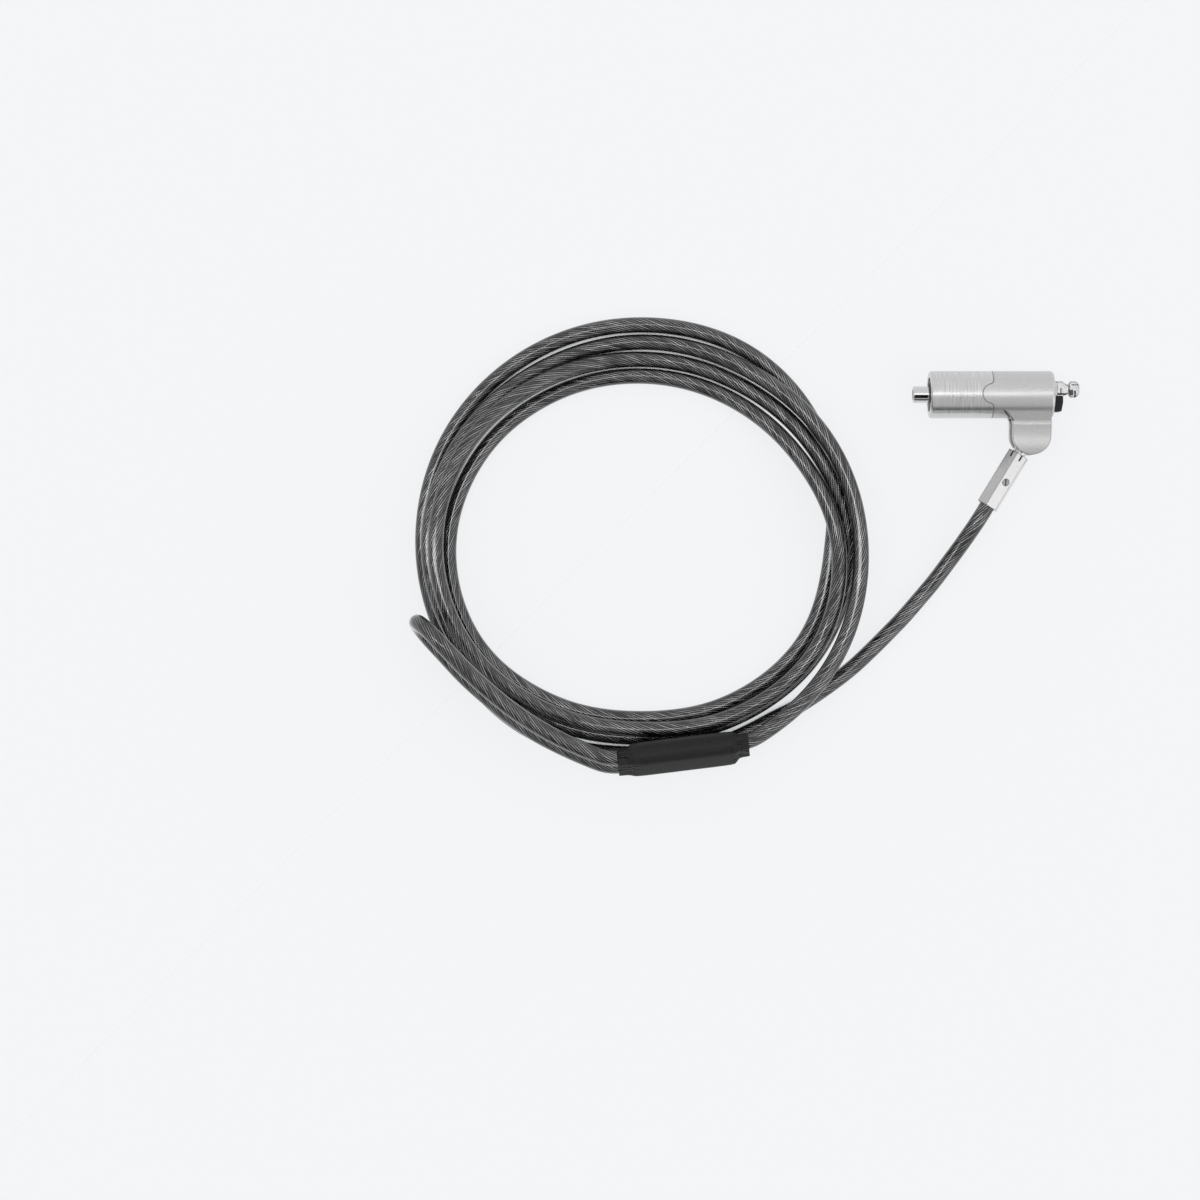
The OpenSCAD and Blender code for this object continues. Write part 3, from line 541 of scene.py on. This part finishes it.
# Painted shadows: dark lines in the slots and gaps of the tangs and the tip, where shade falls.
TANG_SLOT_SHADOWS = [((23.0, 16.5, 0), (1.75, 0.3, 9), 0.03), ((22.6, 17.6, 0), (0.2, 0.9, 9), 0.05),
              ((21.3, 18.0, 0), (0.15, 3.0, 9), 0.5)]
TIP_SLOT_SHADOWS = [((27.55, 16.4, 0), (0.3, 1.3, 9), 0.04), ((27.6, 19.75, 0), (1.3, 0.2, 9), 0.25),
             ((25.9, 17.0, 0), (1.0, 1.0, 9), 0.12)]

brushed_shell = metal("brushed_round_barrel", (0.57, 0.57, 0.57), (0.72, 0.72, 0.715),
                      rough=0.26, grain=4800, depth=0.001 * MM, stretch=AROUND_BARREL,
                      uneven=0.06)
satin_shell = metal("satin_casting", (0.54, 0.54, 0.54), (0.68, 0.68, 0.675),
                    rough=0.31, grain=2600, depth=0.04 * MM, edge=0.5 * MM, outline=0.3,
                    darker=EAR_SHADE_AND_CREASE_SHADOW)
bright_steel = metal("polished_steel", (0.58, 0.58, 0.59), (0.68, 0.68, 0.68),
                     rough=0.16, grain=1800, depth=0.01 * MM)
mirror_steel = metal("mirror_steel", (0.62, 0.62, 0.62), (0.68, 0.68, 0.68),
                     rough=0.035, grain=1800, depth=0.0005 * MM)
# The tangs and the tip get their painted slot shadows as darker boxes.
tang_steel, tip_steel = [
    metal(name, (0.40, 0.40, 0.405), (0.62, 0.62, 0.62), rough=0.24, grain=1600,
          depth=0.03 * MM, edge=0.4 * MM, outline=0.2, darker=slots)
    for name, slots in (("hardened_tangs", TANG_SLOT_SHADOWS), ("hardened_tip", TIP_SLOT_SHADOWS))]
ferrule_plate = metal("plated_ferrule", (0.56, 0.56, 0.56), (0.68, 0.68, 0.68),
                      rough=0.20, grain=2400, depth=0.02 * MM, edge=0.5 * MM, outline=0.15)
turned_steel = metal("turned_steel", (0.34, 0.34, 0.35), (0.48, 0.48, 0.49),
                     rough=0.35, grain=2400, depth=0.02 * MM, stretch=AROUND_BARREL)
screw_steel = metal("dull_screw", (0.22, 0.22, 0.22), (0.42, 0.42, 0.42),
                    rough=0.38, grain=3000, depth=0.02 * MM)
slider_brass = metal("turned_brass", (0.62, 0.46, 0.20), (0.78, 0.60, 0.30),
                     rough=0.28, grain=2400, depth=0.02 * MM, stretch=AROUND_BARREL)
drawn_wire = metal("drawn_spring_wire", (0.42, 0.42, 0.43), (0.58, 0.58, 0.60),
                   rough=0.25, grain=3000, depth=0.01 * MM)
pressed_aluminium = metal("pressed_aluminium", (0.62, 0.63, 0.64), (0.74, 0.75, 0.76),
                          rough=0.35, grain=1500, depth=0.03 * MM)


def rubber(name, dark, light, rough, grain, depth):
    """Dull rubber with a fine mottle."""
    f = Finish(name)
    f.set(Specular_IOR_Level=0.4)
    mottle = f.noise(grain, detail=4.0)
    f.shade(f.ramp(mottle, 0, 1), dark, light)
    f.link(f.ramp(mottle, rough * 0.9, rough * 1.1), f.shader.inputs["Roughness"])
    f.bump(mottle, depth, 0.6)
    return f.material


pad_rubber = rubber("pad_rubber", (0.003, 0.003, 0.003), (0.009, 0.009, 0.009),
                    rough=0.7, grain=2500, depth=0.05 * MM)

# How far along from the sleeve's middle its puckers start and are full, and their depth.
PUCKER_START = 15.8 * MM
PUCKER_FULL = 20.5 * MM
PUCKER_DEPTH = 2.2 * MM


def puckered_rubber(name):
    """Smooth shrunk tube over the crimp, with lengthwise puckers at both necks."""
    f = Finish(name)
    f.set(Specular_IOR_Level=0.3)
    mottle = f.noise(900)
    f.shade(f.ramp(mottle, 0, 1), (0.005, 0.005, 0.005), (0.011, 0.011, 0.012))
    f.link(f.ramp(mottle, 0.48, 0.56), f.shader.inputs["Roughness"])
    turned = f.stretched((1, 1, 1), (0, 0, -SLEEVE_TURN))
    split = f.add("ShaderNodeSeparateXYZ")
    f.link(turned, split.inputs[0])
    middle = (Matrix.Rotation(-SLEEVE_TURN, 3, "Z") @ (SLEEVE_AT + SLEEVE_WAY) * MM).x
    distance = f.math("ABSOLUTE", f.math("SUBTRACT", split.outputs["X"], middle))
    near_end = f.ramp(distance, 0.0, 1.0, start=PUCKER_START, end=PUCKER_FULL)
    lengthwise = f.stretched((0.35, 1, 1), (0, 0, -SLEEVE_TURN))
    folds = f.noise(800, detail=1.0, coords=lengthwise, rough=0.4)
    f.bump(f.math("MULTIPLY", near_end, folds), PUCKER_DEPTH)
    return f.material


sleeve_rubber = puckered_rubber("shrunk_sleeve")
sleeve.data.materials.append(sleeve_rubber)

# The rope in the jacket: its lay in cable diameters, the wires and strands round it, and the
# noise that glints run in, round the rope and along it.
LAY_LENGTH = 7.8
WIRES = 21
STRANDS = 6
GLINTS_ROUND = 5.5
GLINTS_ALONG = 0.8
WIRE_DEPTH = 0.2 * MM


def smoky_jacket(name):
    """Twisted steel wires seen through a clear smoky jacket, following the cable's UV map, with
    painted shade darkening each strand toward its sides.
    """
    f = Finish(name, "UV")
    split = f.add("ShaderNodeSeparateXYZ")
    f.link(f.coords, split.inputs[0])
    across, along = split.outputs["X"], split.outputs["Y"]
    turn = f.math("SUBTRACT", across, f.math("DIVIDE", along, LAY_LENGTH))
    turn = f.math("MULTIPLY", turn, 2 * math.pi)
    wire = f.math("SINE", f.math("MULTIPLY", turn, WIRES))
    wire = f.ramp(wire, 0.0, 1.0, start=-0.2, end=0.8)
    strand = f.math("SINE", f.math("MULTIPLY", turn, STRANDS))
    strand = f.ramp(strand, 0.72, 1.0, start=-1.0, end=1.0)
    wrapped = f.add("ShaderNodeCombineXYZ")
    f.link(f.math("MULTIPLY", f.math("COSINE", turn), GLINTS_ROUND), wrapped.inputs["X"])
    f.link(f.math("MULTIPLY", f.math("SINE", turn), GLINTS_ROUND), wrapped.inputs["Y"])
    f.link(f.math("MULTIPLY", along, GLINTS_ALONG), wrapped.inputs["Z"])
    glint = f.noise(1.0, detail=2.0, coords=wrapped.outputs[0], rough=0.6)
    glint = f.ramp(glint, 0.06, 1.0, start=0.38, end=0.64)
    wire_tone_and_edge_shade = f.math("MULTIPLY", f.math("MULTIPLY", wire, strand), glint, clamp=True)
    # Painted shade: the wires' colour darkens where the strand's surface turns away from the
    # view, to round each strand.
    facing = f.add("ShaderNodeLayerWeight").outputs["Facing"]
    wire_tone_and_edge_shade = f.math("MULTIPLY", wire_tone_and_edge_shade, f.ramp(facing, 1.0, 0.12, start=0.15, end=0.75))
    f.shade(wire_tone_and_edge_shade, (0.002, 0.002, 0.002), (0.43, 0.43, 0.435))
    f.set(Metallic=0.9, Roughness=0.36, Coat_Weight=1.0, Coat_Roughness=0.05, Coat_IOR=1.58)
    f.bump(wire_tone_and_edge_shade, WIRE_DEPTH, 0.5)
    return f.material


cable_jacket = smoky_jacket("smoky_jacket")
jacketed_cable.data.materials.append(cable_jacket)


def dress(material, *nodes):
    """Gives CAD nodes their finish."""
    for name in nodes:
        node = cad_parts[name]
        if not node.material_slots:
            node.data.materials.append(material)
        for slot in node.material_slots:
            slot.material = material


dress(brushed_shell, "rear_shell")
dress(satin_shell, "front_shell")
dress(mirror_steel, "plunger")
dress(bright_steel, "key_plug", "swivel_link", "pivot_pin")
dress(tang_steel, "tang_boss")
dress(tip_steel, "tip_bar")
dress(ferrule_plate, "ferrule")
dress(screw_steel, "ferrule_screw", "latch_pin", "cam_pin", "guide_pin", "shell_pins",
      "spindle_collar")
dress(turned_steel, "core_sleeve", "rear_bush", "latch_ring")
dress(slider_brass, "cam_slider", "wafer_tumblers")
spring.data.materials.append(drawn_wire)
dress(pressed_aluminium, "loop_crimp")
dress(pad_rubber, "grip_pad")

# ---- Studio ----

TABLE_SIZE = 60.0
TABLE_AT = (CAMERA_AT.x, CAMERA_AT.y, -0.3 * MM)
# The table's own light, and how ambient occlusion puts it out in narrow gaps as painted shade:
# how far it looks, and the range it fades over.
TABLE_GLOW = 0.805
GAP_REACH = 12 * MM
GAP_RANGE = (0.01, 0.15)


def white_table():
    """A pale table, drawn in its own pale light with faint shadows. Ambient occlusion dims that
    light as painted shade, so that it is dark only in the narrow gaps between the cable's turns."""
    bpy.ops.object.select_all(action="DESELECT")
    bpy.ops.mesh.primitive_plane_add(size=TABLE_SIZE, location=TABLE_AT)
    table = bpy.context.object
    table.name = "white_table"
    material = bpy.data.materials.new("white_table")
    material.use_nodes = True
    tree = material.node_tree
    tree.nodes.clear()

    def add(kind, color=None):
        node = tree.nodes.new(kind)
        if color:
            node.inputs["Color"].default_value = (*color, 1)
        return node

    def larger(a, b):
        node = tree.nodes.new("ShaderNodeMath")
        node.operation = "MAXIMUM"
        tree.links.new(a, node.inputs[0])
        tree.links.new(b, node.inputs[1])
        return node.outputs[0]

    ray = add("ShaderNodeLightPath")
    matt = add("ShaderNodeBsdfDiffuse", (0.84, 0.85, 0.86))
    seen = add("ShaderNodeBsdfDiffuse", (0.13, 0.13, 0.13))
    glow = add("ShaderNodeEmission", (0.97, 0.985, 1.0))
    # Painted shade: the table's own light fades where ambient occlusion finds it closed in.
    open_sky = add("ShaderNodeAmbientOcclusion")
    open_sky.samples = 8
    open_sky.inputs["Distance"].default_value = GAP_REACH
    level = add("ShaderNodeMapRange")
    level.inputs["From Min"].default_value = GAP_RANGE[0]
    level.inputs["From Max"].default_value = GAP_RANGE[1]
    level.inputs["To Max"].default_value = TABLE_GLOW
    tree.links.new(open_sky.outputs["AO"], level.inputs["Value"])
    tree.links.new(level.outputs["Result"], glow.inputs["Strength"])
    both = add("ShaderNodeAddShader")
    pick = add("ShaderNodeMixShader")
    out = add("ShaderNodeOutputMaterial")
    tree.links.new(seen.outputs[0], both.inputs[0])
    tree.links.new(glow.outputs[0], both.inputs[1])
    shown = larger(ray.outputs["Is Camera Ray"], ray.outputs["Is Glossy Ray"])
    shown = larger(shown, ray.outputs["Is Transmission Ray"])
    tree.links.new(shown, pick.inputs["Fac"])
    tree.links.new(matt.outputs[0], pick.inputs[1])
    tree.links.new(both.outputs[0], pick.inputs[2])
    tree.links.new(pick.outputs[0], out.inputs["Surface"])
    table.data.materials.append(material)


white_table()

# Panels of light by direction, as (east, north) of their middle, half size, soft rim and
# brightness: one long and one short overhead, one at the side, and a narrow white card.
PANELS = [
    ((-0.305, 0.03), (0.335, 0.04), 0.02, 6.4),
    ((0.28, 0.075), (0.17, 0.025), 0.02, 0.75),
    ((0.62, -0.44), (0.16, 0.15), 0.12, 1.0),
    ((0.1075, 0.13), (0.008, 0.22), 0.006, 0.45),
]
BLACK_CARD = ((0.1075, -0.46), (0.008, 0.34), 0.004)


def studio_light():
    """Soft light from all round: brighter from +Y and from +X, dark low down at -Y, with a
    bright long panel overhead, and a narrow white and a black card for the plunger to
    mirror. The lowest two degrees are as pale as the table, to hide its far edge."""
    world = bpy.data.worlds.new("studio")
    bpy.context.scene.world = world
    world.use_nodes = True
    tree = world.node_tree

    def add(kind, **settings):
        node = tree.nodes.new(kind)
        for key, value in settings.items():
            setattr(node, key, value)
        return node

    def feed(socket, value):
        if isinstance(value, (int, float)):
            socket.default_value = value
        else:
            tree.links.new(value, socket)

    def calc(operation, a, b=0.0):
        node = add("ShaderNodeMath", operation=operation)
        feed(node.inputs[0], a)
        feed(node.inputs[1], b)
        return node.outputs[0]

    def step(value, start, end, low, high):
        node = add("ShaderNodeMapRange", interpolation_type="SMOOTHSTEP")
        for name, number in zip(("From Min", "From Max", "To Min", "To Max"),
                                (start, end, low, high)):
            node.inputs[name].default_value = number
        feed(node.inputs["Value"], value)
        return node.outputs["Result"]

    split = add("ShaderNodeSeparateXYZ")
    tree.links.new(add("ShaderNodeTexCoord").outputs["Generated"], split.inputs[0])
    east, north, up = split.outputs["X"], split.outputs["Y"], split.outputs["Z"]

    def panel(at, half, soft):
        """1 inside a panel in the sky, 0 outside it."""
        mask = 1.0
        for value, middle, reach in zip((east, north), at, half):
            distance = calc("ABSOLUTE", calc("SUBTRACT", value, middle))
            mask = calc("MULTIPLY", step(distance, reach, reach + soft, 1.0, 0.0), mask)
        return calc("MULTIPLY", mask, step(up, 0.0, 0.1, 0.0, 1.0))

    level = step(north, start=-1.0, end=-0.83, low=0.0, high=0.64)
    level = calc("ADD", level, step(north, start=-0.25, end=0.0, low=0.0, high=0.26))
    level = calc("SUBTRACT", level, step(north, start=0.2, end=0.45, low=0.0, high=0.03))
    level = calc("MULTIPLY", level, step(east, start=-1.0, end=0.9, low=0.82, high=1.12))
    for at, half, soft, bright in PANELS:
        level = calc("ADD", level, calc("MULTIPLY", panel(at, half, soft), bright))
    level = calc("MULTIPLY", level, calc("SUBTRACT", 1.0, panel(*BLACK_CARD)))
    haze = step(up, start=0.027, end=0.035, low=0.925, high=0.0)
    level = calc("MAXIMUM", level, haze)

    background = tree.nodes["Background"]
    background.inputs["Color"].default_value = (1, 1, 1, 1)
    tree.links.new(level, background.inputs["Strength"])


studio_light()
bpy.context.scene.view_settings.view_transform = "Standard"
